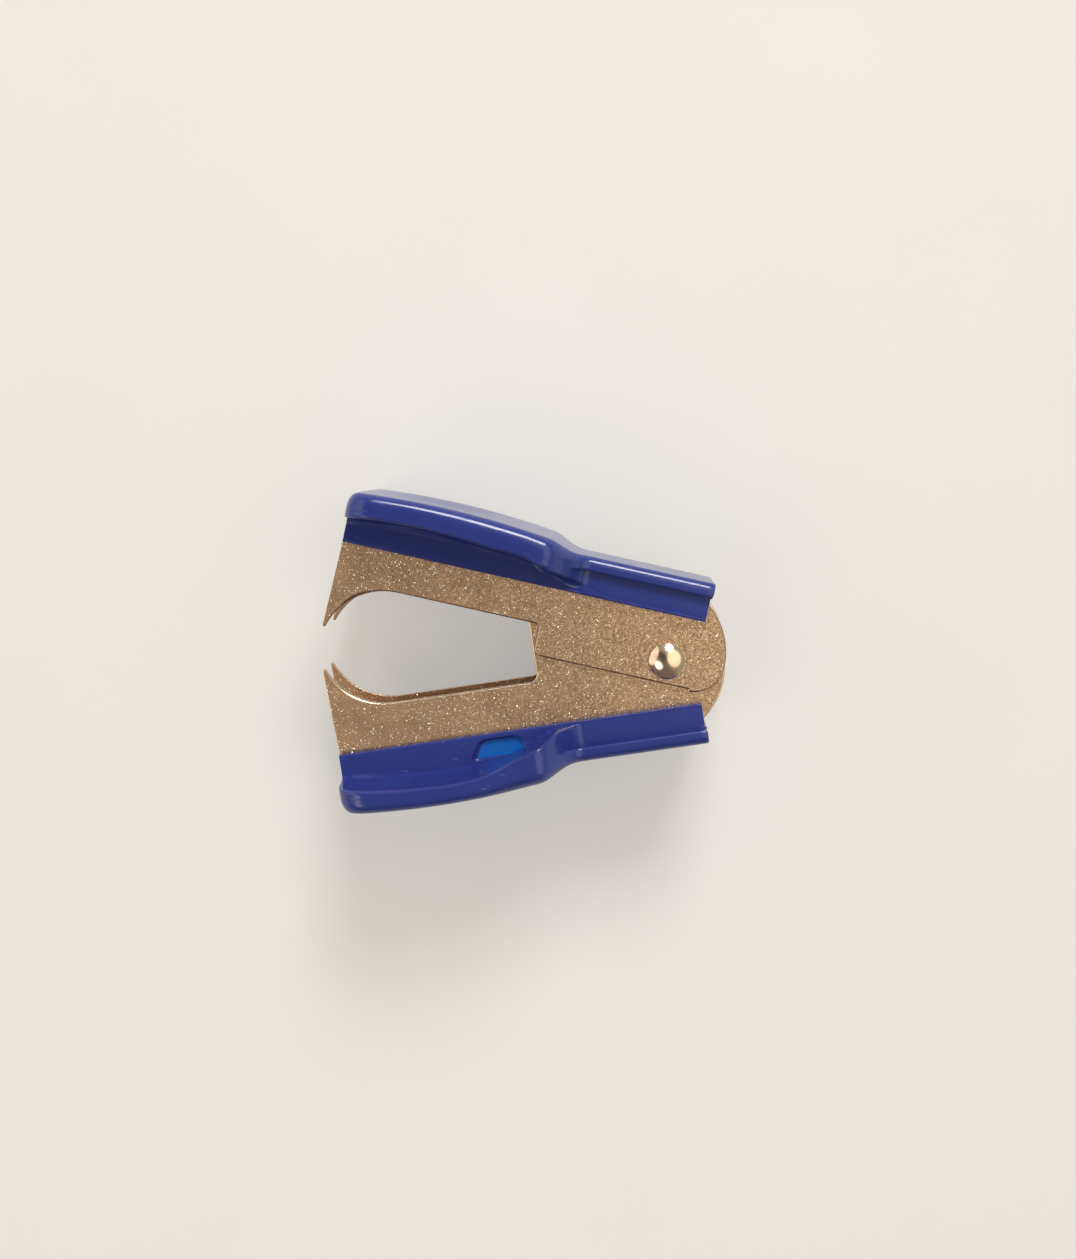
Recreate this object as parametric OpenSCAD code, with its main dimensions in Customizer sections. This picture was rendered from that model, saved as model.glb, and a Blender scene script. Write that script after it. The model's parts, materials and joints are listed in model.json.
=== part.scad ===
// Jaw-type staple remover: two folded sheet-steel jaws riveted together at the tail,
// held open by a coiled spring and squeezed shut by two moulded finger grips.
// It lies on its side. Each jaw and grip is drawn with the pivot at the origin,
// x towards the tail, y out through the jaw's back and z along the rivet.

/* [Opening] */
// Angle between the backs of the two jaws at rest
open_angle = 21; // [18:0.5:23]

/* [Sheet metal] */
// Thickness of the sheet
sheet_t = 1; // [0.8:0.05:1.2]
// Outside radius of the folds between a jaw's back and its walls
fold_r = 1.5; // [1.3:0.1:2.2]
// Width over the walls of the outer jaw, which pass between a staple's legs
outer_jaw_w = 11.4; // [11:0.1:13.5]
// Gap on each side between the nested walls
wall_gap = 0.1; // [0.05:0.05:0.25]
// Height of a jaw's back over the pivot
back_h = 11; // [10.5:0.1:12.5]
// Reach of the jaws' backs in front of the pivot
front_reach = 51.6; // [47:0.2:56]

/* [Claws] */
// How far the claw tips stand in front of the jaws' backs
tip_lead = 0.6; // [0:0.1:2]
// Drop of the claw tips past the pivot line
tip_drop = 6.2; // [5:0.1:7]
// Width of the blunted claw tips
tip_flat = 0.4; // [0.2:0.1:0.8]
// Length of a claw's curve along the jaw
claw_run = 9.8; // [7:0.2:12]
// Height over the pivot of the outer jaw's edge between claw and ear
outer_slot_h = 1.2; // [0.4:0.1:2]
// Height over the pivot of the inner jaw's edge between claw and ear
inner_slot_h = 0.4; // [0:0.1:1.6]

/* [Ears] */
// Reach of the outer jaw's ears in front of the pivot
outer_ear_reach = 19.9; // [17:0.1:24]
// Drop of the outer jaw's ears past the pivot line
outer_ear_drop = 3.5; // [3:0.1:4.5]
// Radius in the corner between the outer jaw's ears and its claw edge
outer_ear_fillet_r = 0.7; // [0.4:0.1:1.6]
// Radius of the lower front corner of the outer jaw's ears
outer_ear_corner_r = 1.2; // [0.6:0.1:2]
// Small step down from the outer ears' straight edge to their round tail
tail_step = 0.35; // [0.1:0.05:0.6]
// Reach of the inner jaw's ears in front of the pivot
inner_ear_reach = 19.9; // [17:0.1:23]
// Drop of the inner jaw's ears past the pivot line
inner_ear_drop = 9.2; // [8.6:0.1:9.4]
// Radius in the corner between the inner jaw's ears and its claw edge
inner_ear_fillet_r = 1.2; // [0.6:0.1:2]
// Reach of the ears behind the pivot
tail_reach = 8.7; // [7.5:0.1:10]
// Radius of the ears' lower tail corner
tail_corner_r = 4.6; // [3.8:0.1:5]
// Radius of the long sweep from the tail up to the jaw's back
tail_sweep_r = 11.2; // [10.8:0.1:14]
// Gap left at rest where the inner ears stop against the outer jaw's back
stop_gap = 0.3; // [0.2:0.05:0.6]

/* [Pivot rivet] */
// Diameter of the rivet's shank
rivet_d = 4; // [3:0.1:4.3]
// Radial clearance of the shank in the outer jaw
rivet_fit = 0.02; // [0.01:0.01:0.05]
// Radial running clearance of the shank in the inner jaw
pivot_gap = 0.06; // [0.02:0.01:0.1]
// Diameter of the dome head
head_d = 5.45; // [4.8:0.05:7]
// Height of the dome head
head_h = 1.5; // [1:0.1:2]
// Diameter of the formed tail
tail_head_d = 5.2; // [4.8:0.1:6.5]
// Height of the formed tail
tail_head_h = 1; // [0.7:0.1:1.5]
// Diameter of the dimple in the formed tail
dimple_d = 1.8; // [1:0.1:2.4]
// Depth of that dimple
dimple_depth = 0.6; // [0.3:0.1:0.6]

/* [Torsion spring] */
// Diameter of the spring wire
wire_d = 1.1; // [0.8:0.1:1.2]
// Gap between the rivet's shank and the coil
coil_gap = 0.3; // [0.2:0.05:0.5]
// Least gap on each side between the coil and the inner jaw's walls
coil_side_gap = 0.2; // [0.1:0.05:0.4]
// Rise of the coil in each turn
coil_pitch = 1.3; // [1.25:0.05:1.35]
// Distance from the pivot to where each leg meets its jaw's back
leg_reach = 12; // [9:0.5:14]
// Length of the foot that lies along the jaw's back
foot_l = 4.5; // [3:0.5:6]
// Gap between a foot and its jaw's back
foot_gap = 0.05; // [0.02:0.01:0.2]

/* [Finger grips] */
// Thickness of the skirts
skirt_t = 1.3; // [1.1:0.1:1.8]
// Depth of the skirts down the jaw's walls
skirt_depth = 3.9; // [3:0.1:4.5]
// Reach of the skirts behind the pivot
skirt_tail = 4.2; // [3:0.1:6]
// Width of the flange over the narrow end
flange_w = 17; // [16:0.2:20]
// Thickness of the grip over the jaw's back
flange_t = 2; // [1.4:0.1:2.6]
// Lap of the flange down past the outside of the jaw's back
flange_lap = 0.1; // [0:0.05:0.4]
// Reach of the flange behind the pivot
flange_tail = 4.5; // [3.5:0.1:7]
// Clearance between a grip and its jaw
grip_fit = 0.05; // [0.02:0.01:0.15]

/* [Wings] */
// Width over the two wings of a grip
wing_w = 28.5; // [22:0.5:32]
// Distance from the pivot to the rear end of the wings
wing_start = 17.3; // [15:0.1:20]
// Radius of the wings' corners, seen from outside
wing_corner_r = 4; // [2:0.2:5]
// Radius that flares the wings out of the flange at their rear end
wing_flare_r = 2.5; // [1.5:0.1:3]
// Radius along the wings' outer edge
wing_edge_r = 2.2; // [1.4:0.1:2.6]
// Height of the pad's crown over the jaw's back
pad_rise = 4.9; // [4.3:0.1:5.8]
// Distance from the pivot to the crown
pad_peak = 38; // [34:0.5:42]
// Radius of the crown along the jaw
pad_crown_r = 134; // [110:1:180]
// Radius at the front of the pad
pad_nose_r = 1.8; // [1:0.1:2.4]
// Radius at the rear end of the pad
pad_heel_r = 1.1; // [0.6:0.1:1.1]
// Height of the wings' underside over the jaw's back, at its highest
rim_rise = 1.3; // [1:0.1:1.7]
// Distance from the pivot to that place
rim_peak = 36; // [32:0.5:40]
// Radius of the underside's arch towards the front
rim_front_r = 95; // [70:1:140]
// Radius of the underside's arch towards the rear
rim_rear_r = 44; // [40:1:60]
// Depth of the thumb dish in the pad
dish_depth = 0.8; // [0.4:0.1:1.2]
// Diameter of the thumb dish
dish_d = 23; // [16:0.5:26]

/* [Snap] */
// Depth of the pocket that thins one skirt of each grip
pocket_depth = 0.7; // [0.4:0.1:0.9]
// Reach of the nub into the jaw's wall
snap_reach = 0.5; // [0.3:0.1:0.7]
// Distance from the pivot to the middle of the pocket's round end
pocket_start = 24.7; // [23.5:0.1:26]
// Length of the pocket ahead of that
pocket_l = 6.3; // [4:0.1:8]
// Lean of the pocket's front end
pocket_lean = 1.9; // [0:0.1:3]
// Margin of skirt left below the pocket
pocket_margin = 0.7; // [0.4:0.1:1]
// Diameter of the nub behind the pocket, which snaps into the jaw's wall
snap_d = 2.2; // [1.6:0.1:2.4]
// Clearance of the nub in the wall
snap_gap = 0.15; // [0.05:0.05:0.3]

/* [Hidden] */
$fn = 96;

steel = [0.74, 0.69, 0.62];
polished_steel = [0.83, 0.81, 0.78];
spring_steel = [0.5, 0.5, 0.52];
blue_plastic = [0.11, 0.16, 0.52];

// Room past a solid for the tools that trim it
over = 1;
// Sides of the spring wire, and rings in each turn of its coil
wire_sides = 10;
rings_per_turn = 18;

half_open = open_angle / 2;
tip_reach = front_reach + tip_lead;
inner_jaw_w = outer_jaw_w - 2 * (sheet_t + wall_gap);
back_inside_h = back_h - sheet_t;

tail_level = tail_corner_r - outer_ear_drop - tail_step;
tail_corner_x = tail_reach - tail_corner_r;
tail_sweep_x = tail_reach - tail_sweep_r;

skirt_edge_h = back_h - skirt_depth;
flange_low_h = back_h - flange_lap;
flange_top_h = back_h + grip_fit + flange_t;
pad_h = back_h + pad_rise;
rim_h = back_h + rim_rise;
dish_r = cap_r(dish_d / 2, dish_depth);
heel_h = pad_h - pad_crown_r + sqrt(pow(pad_crown_r, 2) - pow(pad_peak - wing_start, 2));
snap_s = pocket_start + pocket_l / 2;
snap_h = (skirt_edge_h + pocket_margin + flange_low_h) / 2;

coil_r = rivet_d / 2 + coil_gap + wire_d / 2;
foot_h = back_inside_h - foot_gap - wire_d / 2;

// The part's place: on its wing rims, with the middle of its length and height at the origin
tip_x = -tip_reach * cos(half_open) - tip_drop * sin(half_open);
tail_x = tail_sweep_x * cos(half_open) + tail_level * sin(half_open) + tail_sweep_r;
pivot = [-(tip_x + tail_x) / 2, 0, wing_w / 2];

function turned(p, a) = [p[0] * cos(a) - p[1] * sin(a), p[0] * sin(a) + p[1] * cos(a)];
function cap_r(base_r, h) = (base_r * base_r + h * h) / (2 * h);

module at_outer_jaw() {
    translate(pivot) rotate([0, 0, -half_open]) children();
}

module at_inner_jaw() {
    translate(pivot) rotate([0, 0, half_open]) mirror([0, 1, 0]) children();
}

// Front of a jaw's wall: a strip under the back that ends in a hooked claw
module claw_outline(slot_h, ear_reach) {
    drop = slot_h + tip_drop;
    claw_r = (claw_run * claw_run + drop * drop) / (2 * drop);
    claw_x = -(tip_reach - tip_flat - claw_run);
    difference() {
        polygon([
            [-front_reach, back_h], [-tip_reach, -tip_drop], [claw_x, -tip_drop],
            [claw_x, slot_h], [-ear_reach, slot_h], [-ear_reach, back_h],
        ]);
        translate([claw_x, slot_h - claw_r]) circle(claw_r);
    }
}

// Long sweep from the rearmost point of the ears up to the jaw's back
module tail_sweep() {
    intersection() {
        translate([tail_sweep_x, tail_level]) circle(tail_sweep_r);
        translate([0, tail_level]) square([tail_reach, back_h - tail_level]);
    }
}

// Lower rear corner of the ears, with its lowest point straight under the corner's centre
module tail_corner(level) {
    translate([tail_corner_x, level]) intersection() {
        circle(tail_corner_r);
        translate([0, -tail_corner_r]) square(tail_corner_r);
    }
}

// Fills the corner where an ear's front edge meets the claw edge
module ear_fillet(ear_reach, slot_h, r) {
    translate([-ear_reach - r, slot_h - r]) difference() {
        square(r);
        circle(r);
    }
}

module outer_jaw_outline() {
    corner = [outer_ear_corner_r - outer_ear_reach, outer_ear_corner_r - outer_ear_drop];
    claw_outline(outer_slot_h, outer_ear_reach);
    ear_fillet(outer_ear_reach, outer_slot_h, outer_ear_fillet_r);
    translate([-outer_ear_reach, corner[1]])
        square([outer_ear_reach + tail_corner_x, back_h - corner[1]]);
    translate([corner[0], -outer_ear_drop])
        square([tail_corner_x - corner[0], back_h + outer_ear_drop]);
    translate(corner) circle(outer_ear_corner_r);
    tail_sweep();
    tail_corner(tail_level);
}

module inner_jaw_outline() {
    corner_level = tail_corner_r - inner_ear_drop;
    difference() {
        union() {
            claw_outline(inner_slot_h, inner_ear_reach);
            translate([-inner_ear_reach, -inner_ear_drop])
                square([inner_ear_reach + tail_corner_x, back_h + inner_ear_drop]);
            translate([0, corner_level]) square([tail_reach, tail_level - corner_level]);
            tail_sweep();
            tail_corner(corner_level);
            ear_fillet(inner_ear_reach, inner_slot_h, inner_ear_fillet_r);
        }
        // Flat that comes up against the inside of the outer jaw's back
        rotate(open_angle - 90)
            translate([back_inside_h - stop_gap, -back_h]) square(2 * back_h);
    }
}

// Section across a block with two rounded upper corners
module rounded_block(w, h, r) {
    translate([-w / 2, -2 * back_h]) square([w, 2 * back_h + h - r]);
    translate([r - w / 2, 0]) square([w - 2 * r, h]);
    for (side = [-1, 1])
        translate([side * (w / 2 - r), h - r]) circle(r);
}

// One jaw: the folded channel, trimmed to its side outline and drilled
module jaw(w, hole_r, snap_side) {
    difference() {
        intersection() {
            translate([0, 0, -w / 2]) linear_extrude(w) children();
            translate([tail_reach + over, 0, 0]) rotate([0, -90, 0])
                linear_extrude(tip_reach + tail_reach + 2 * over) difference() {
                    rounded_block(w, back_h, fold_r);
                    rounded_block(w - 2 * sheet_t, back_inside_h, fold_r - sheet_t);
                }
        }
        translate([0, 0, -w / 2 - over]) cylinder(r = hole_r, h = w + 2 * over);
        translate([-snap_s, snap_h, snap_side * (w - sheet_t) / 2])
            cylinder(d = snap_d + 2 * snap_gap, h = 2 * sheet_t, center = true);
    }
}

module outer_jaw() {
    color(steel) at_outer_jaw()
        jaw(outer_jaw_w, rivet_d / 2 + rivet_fit, -1) outer_jaw_outline();
}

module inner_jaw() {
    color(steel) at_inner_jaw()
        jaw(inner_jaw_w, rivet_d / 2 + pivot_gap, 1) inner_jaw_outline();
}

// Shallow dome that stands on the plane z = 0
module dome(d, h) {
    ball_r = cap_r(d / 2, h);
    intersection() {
        translate([0, 0, h - ball_r]) sphere(ball_r);
        cylinder(d = d, h = h);
    }
}

module pivot_rivet() {
    color(polished_steel) translate(pivot) difference() {
        union() {
            translate([0, 0, -outer_jaw_w / 2]) cylinder(d = rivet_d, h = outer_jaw_w);
            translate([0, 0, outer_jaw_w / 2]) dome(head_d, head_h);
            translate([0, 0, -outer_jaw_w / 2]) mirror([0, 0, 1]) dome(tail_head_d, tail_head_h);
        }
        translate([0, 0, -outer_jaw_w / 2 - tail_head_h])
            cylinder(d1 = dimple_d, d2 = 0, h = dimple_depth);
    }
}

// The spring's route: foot and leg in the outer jaw, coil round the rivet, leg and foot in the inner jaw
foot_start = turned([-leg_reach, foot_h], -half_open);
foot_end = turned([-leg_reach - foot_l, foot_h], -half_open);
leave_a = atan2(foot_start[1], foot_start[0]) - acos(coil_r / norm(foot_start));
coil_room = inner_jaw_w - 2 * (sheet_t + coil_side_gap) - wire_d;
coil_turns = floor(coil_room / coil_pitch - leave_a / 180);
coil_angle = 360 * coil_turns + 2 * leave_a;
coil_l = coil_pitch * coil_angle / 360;
coil_rings = ceil(rings_per_turn * coil_angle / 360);
spring_path = concat(
    [for (p = [foot_end, foot_start]) [p[0], p[1], coil_l / 2]],
    [for (i = [0:coil_rings])
        let (a = leave_a - coil_angle * i / coil_rings)
        [coil_r * cos(a), coil_r * sin(a), coil_l * (0.5 - i / coil_rings)]],
    [for (p = [foot_start, foot_end]) [p[0], -p[1], -coil_l / 2]]
);

function unit(v) = v / norm(v);

// Ring of points round a path at its point i, square to the way the path runs there
function wire_ring(path, i) =
    let (
        last = len(path) - 1,
        along = unit(path[min(i + 1, last)] - path[max(i - 1, 0)]),
        across = unit(cross([0, 0, 1], along)),
        up = cross(along, across)
    )
    [for (k = [0:wire_sides - 1])
        let (a = 360 * k / wire_sides)
        path[i] + wire_d / 2 * (cos(a) * across + sin(a) * up)];

module wire(path) {
    rings = len(path);
    points = [for (i = [0:rings - 1]) each wire_ring(path, i)];
    sides = [for (i = [0:rings - 2], k = [0:wire_sides - 1])
        let (a = i * wire_sides, b = a + wire_sides, n = (k + 1) % wire_sides)
        [a + k, b + k, b + n, a + n]];
    start_cap = [for (k = [0:wire_sides - 1]) k];
    end_cap = [for (k = [wire_sides - 1:-1:0]) (rings - 1) * wire_sides + k];
    polyhedron(points, concat(sides, [start_cap, end_cap]), convexity = 6);
}

module torsion_spring() {
    color(spring_steel) translate(pivot) wire(spring_path);
}

// Piece that rounds off an upper left corner at the origin when it is cut away
module corner_cut(r) {
    difference() {
        translate([-over, -r]) square(r + over);
        translate([r, -r]) circle(r);
    }
}

// Side outline of the wings: a crowned pad over an arched underside that sweeps down to the skirts
module wing_outline() {
    arch = skirt_edge_h - over;
    difference() {
        intersection() {
            union() {
                translate([-front_reach, skirt_edge_h])
                    square([front_reach - wing_start, pad_h - skirt_edge_h]);
                translate([-wing_start, skirt_edge_h])
                    square([wing_flare_r, flange_top_h - skirt_edge_h]);
            }
            translate([-pad_peak, pad_h - pad_crown_r]) circle(pad_crown_r);
        }
        intersection() {
            translate([-rim_peak, rim_h - rim_rear_r]) circle(rim_rear_r);
            translate([-rim_peak, arch]) square([rim_peak, pad_h]);
        }
        intersection() {
            translate([-rim_peak, rim_h - rim_front_r]) circle(rim_front_r);
            translate([-front_reach - over, arch]) square([front_reach + over - rim_peak, pad_h]);
        }
        translate([-front_reach, pad_h]) corner_cut(pad_nose_r);
        translate([-wing_start, heel_h]) mirror([1, 0]) corner_cut(pad_heel_r);
    }
}

// Outline of the wings seen from outside: a plate with round corners that flares out of the flange
module wing_plan() {
    l = front_reach - wing_start;
    translate([-front_reach, wing_corner_r - wing_w / 2]) square([l, wing_w - 2 * wing_corner_r]);
    translate([wing_corner_r - front_reach, -wing_w / 2]) square([l - 2 * wing_corner_r, wing_w]);
    for (side = [-1, 1]) {
        for (x = [-front_reach + wing_corner_r, -wing_start - wing_corner_r])
            translate([x, side * (wing_w / 2 - wing_corner_r)]) circle(wing_corner_r);
        difference() {
            translate([-wing_start, side * (flange_w + wing_flare_r) / 2])
                square([2 * wing_flare_r, wing_flare_r], center = true);
            translate([wing_flare_r - wing_start, side * (flange_w / 2 + wing_flare_r)])
                circle(wing_flare_r);
        }
    }
}

module wings() {
    difference() {
        intersection() {
            translate([0, 0, -wing_w / 2]) linear_extrude(wing_w) wing_outline();
            translate([0, pad_h + over, 0]) rotate([90, 0, 0]) linear_extrude(pad_h) wing_plan();
            rotate([0, -90, 0])
                linear_extrude(front_reach + over) rounded_block(wing_w, pad_h, wing_edge_r);
        }
        translate([-pad_peak, pad_h - dish_depth + dish_r, 0]) sphere(dish_r);
    }
}

// Leaning pocket with a round rear end, kept under the arch of the wings
module pocket_outline() {
    low = skirt_edge_h + pocket_margin;
    end_r = (flange_low_h - low) / 2;
    difference() {
        union() {
            polygon([
                [-pocket_start, low], [-pocket_start, flange_low_h],
                [-pocket_start - pocket_l - pocket_lean / 2, flange_low_h],
                [-pocket_start - pocket_l + pocket_lean / 2, low],
            ]);
            translate([-pocket_start, low + end_r]) circle(end_r);
        }
        wing_outline();
    }
}

// One grip over a jaw of the given width, with its snap on the side given as -1 or 1
module grip(jaw_w, snap_side) {
    inside_w = jaw_w + 2 * grip_fit;
    skirt_w = inside_w + 2 * skirt_t;
    difference() {
        union() {
            translate([-front_reach, skirt_edge_h, -skirt_w / 2])
                cube([front_reach + skirt_tail, flange_top_h - skirt_edge_h, skirt_w]);
            translate([-front_reach, flange_low_h, -flange_w / 2])
                cube([front_reach + flange_tail, flange_top_h - flange_low_h, flange_w]);
            wings();
        }
        translate([-front_reach - over, 0, -inside_w / 2])
            cube([front_reach + flange_tail + 2 * over, back_h + grip_fit, inside_w]);
        translate([0, 0, snap_side * (skirt_w / 2 - pocket_depth / 2)])
            linear_extrude(pocket_depth, center = true) pocket_outline();
    }
    // Nub that stands on the inside of the skirt, behind the pocket
    nub_end = inside_w / 2 + (skirt_t - pocket_depth) / 2;
    nub_l = nub_end - jaw_w / 2 + snap_reach;
    translate([-snap_s, snap_h, snap_side * (nub_end - nub_l / 2)])
        cylinder(d = snap_d, h = nub_l, center = true);
}

module upper_grip() {
    color(blue_plastic) at_outer_jaw() grip(outer_jaw_w, -1);
}

module lower_grip() {
    color(blue_plastic) at_inner_jaw() grip(inner_jaw_w, 1);
}

outer_jaw();
inner_jaw();
pivot_rivet();
torsion_spring();
upper_grip();
lower_grip();
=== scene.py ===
"""Looks of a jaw-type staple remover: grained steel jaws, rivet, spring and moulded finger grips."""

import json
import logging
import math
from dataclasses import dataclass, field, replace
from enum import Enum, IntEnum
from itertools import accumulate
from typing import Any, Mapping, Sequence, Union

import bmesh
import bpy
from mathutils import Matrix, Vector


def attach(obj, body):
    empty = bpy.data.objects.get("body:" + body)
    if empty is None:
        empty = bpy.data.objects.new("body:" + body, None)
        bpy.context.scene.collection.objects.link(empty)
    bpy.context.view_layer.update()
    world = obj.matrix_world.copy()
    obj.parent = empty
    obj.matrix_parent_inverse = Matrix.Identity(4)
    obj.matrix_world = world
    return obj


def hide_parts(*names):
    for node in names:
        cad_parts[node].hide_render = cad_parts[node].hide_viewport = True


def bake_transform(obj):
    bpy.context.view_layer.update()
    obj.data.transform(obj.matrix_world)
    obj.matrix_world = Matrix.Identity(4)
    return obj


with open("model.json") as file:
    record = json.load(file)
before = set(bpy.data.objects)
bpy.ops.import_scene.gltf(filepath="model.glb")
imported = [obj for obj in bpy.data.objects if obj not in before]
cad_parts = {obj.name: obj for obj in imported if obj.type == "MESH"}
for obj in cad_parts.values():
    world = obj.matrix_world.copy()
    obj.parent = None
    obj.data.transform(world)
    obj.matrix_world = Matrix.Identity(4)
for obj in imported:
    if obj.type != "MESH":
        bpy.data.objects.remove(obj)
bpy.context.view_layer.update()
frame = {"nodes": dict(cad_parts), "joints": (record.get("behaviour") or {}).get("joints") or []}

LOG = logging.getLogger("staple_remover")
MM = 0.001
REST_HALF_ANGLE = math.radians(10.5)
PIVOT = Vector(frame["joints"][0]["pos_m"])
ALONG_RIVET = Vector((0.0, 0.0, 1.0))
OUT_OF_BACK = Vector((0.0, 1.0, 0.0))
OUTER_W = 11.4
INNER_W = 9.2
AT_PIVOT = Matrix.Translation(PIVOT) @ Matrix.Scale(MM, 4)

Colour = tuple[float, float, float]
Point2 = tuple[float, float]
Point3 = tuple[float, float, float]
Object = bpy.types.Object
Shape = bmesh.types.BMesh
Edge = bmesh.types.BMEdge


def ease(value: float, span: Point2) -> float:
    """Returns how far a smooth step over a span has come at a value, from 0 to 1."""
    share = min(1.0, max(0.0, (value - span[0]) / (span[1] - span[0])))
    return share * share * (3.0 - 2.0 * share)


def mix(first: float, second: float, share: float) -> float:
    """Returns the value that lies the given share of the way from first to second."""
    return first + (second - first) * share


def round_off(distance: float, radius: float) -> float:
    """Returns how far a quarter-round edge falls at a distance past the start of its rounding."""
    reach = min(radius, max(0.0, distance))
    return radius - math.sqrt(radius * radius - reach * reach)


class Outline:
    """The outline of a section, drawn on from its last point."""

    def __init__(self, points: Sequence[Point2]) -> None:
        """Starts the outline with some points."""
        self.points = list(points)

    def line(self, end: Point2, steps: int) -> None:
        """Draws a straight line.

        Args:
            end: Where it ends.
            steps: Number of points on it.
        """
        start = self.points[-1]
        shares = [step / steps for step in range(1, steps + 1)]
        self.points += [(mix(start[0], end[0], share), mix(start[1], end[1], share)) for share in shares]

    def arc(self, radius: float, start: float, steps: int) -> None:
        """Draws a quarter round, clockwise.

        Args:
            radius: Its radius.
            start: Angle in degrees at which it starts.
            steps: Number of points on it.
        """
        angles = [math.radians(start - 90.0 * step / steps) for step in range(steps + 1)]
        x = self.points[-1][0] - radius * math.cos(angles[0])
        y = self.points[-1][1] - radius * math.sin(angles[0])
        self.points += [(x + radius * math.cos(a), y + radius * math.sin(a)) for a in angles[1:]]

    def cove(self, foot: Point2, power: float, steps: int) -> None:
        """Draws a hollow curve down to its foot, with its points evenly along it.

        Args:
            foot: Where it ends.
            power: The power of its height by which it leaves its foot.
            steps: Number of points on it.
        """
        top = self.points[-1]
        fine = 400
        shares = [0.5 - 0.5 * math.cos(math.pi * step / fine) for step in range(fine + 1)]
        dense = [(mix(foot[0], top[0], share**power), mix(foot[1], top[1], share)) for share in shares]
        reach = [0.0, *accumulate(map(math.dist, dense, dense[1:]))]
        picked = [foot]
        index = 0
        for step in range(1, steps):
            while reach[index] < reach[-1] * step / steps:
                index += 1
            picked.append(dense[index])
        self.points += reversed(picked)


class Half(Enum):
    """The two halves of the remover, named after the bodies that their pieces ride on."""

    UPPER = "upper_half"
    LOWER = "lower_half"

    def placing(self) -> Matrix:
        """Returns the matrix from a jaw's own millimetres to the frame's metres."""
        turn = Matrix.Rotation(-REST_HALF_ANGLE, 4, "Z")
        if self is Half.LOWER:
            turn = Matrix.Scale(-1.0, 4, OUT_OF_BACK) @ turn
        return Matrix.Translation(PIVOT) @ turn @ Matrix.Scale(MM, 4)

    def home(self) -> Matrix:
        """Returns the matrix from the frame's metres to a jaw's own millimetres."""
        return self.placing().inverted()


class Side(Enum):
    """The two skirts of a grip, by the way along the rivet in which they lie."""

    NEAR = 1
    FAR = -1


class JawSlot(IntEnum):
    """A jaw's material slots."""

    SHEET = 0
    EDGE = 1
    FRONT = 2


class PocketSlot(IntEnum):
    """The material slots of the solid that a pocket is cut with."""

    THIN = 0
    FULL = 1


class Socket:
    """A shader node's output that takes part in Python arithmetic."""

    def __init__(self, sheet: "ShaderSheet", link: bpy.types.NodeSocket) -> None:
        """Keeps the sheet that the socket is on, and the socket itself."""
        self.sheet = sheet
        self.link = link

    def _math(self, operation: str, first: "Value", second: "Value") -> "Socket":
        """Returns the result of a Math node on two values."""
        return self.sheet.node("ShaderNodeMath", {"operation": operation}, {0: first, 1: second})

    def __add__(self, other: "Value") -> "Socket":
        """Returns self + other."""
        return self._math("ADD", self, other)

    __radd__ = __add__

    def __rsub__(self, other: "Value") -> "Socket":
        """Returns other - self."""
        return self._math("SUBTRACT", other, self)

    def __mul__(self, other: "Value") -> "Socket":
        """Returns self * other."""
        return self._math("MULTIPLY", self, other)

    __rmul__ = __mul__


Value = Union[float, Socket]
Tone = Union[Colour, Socket]


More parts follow.
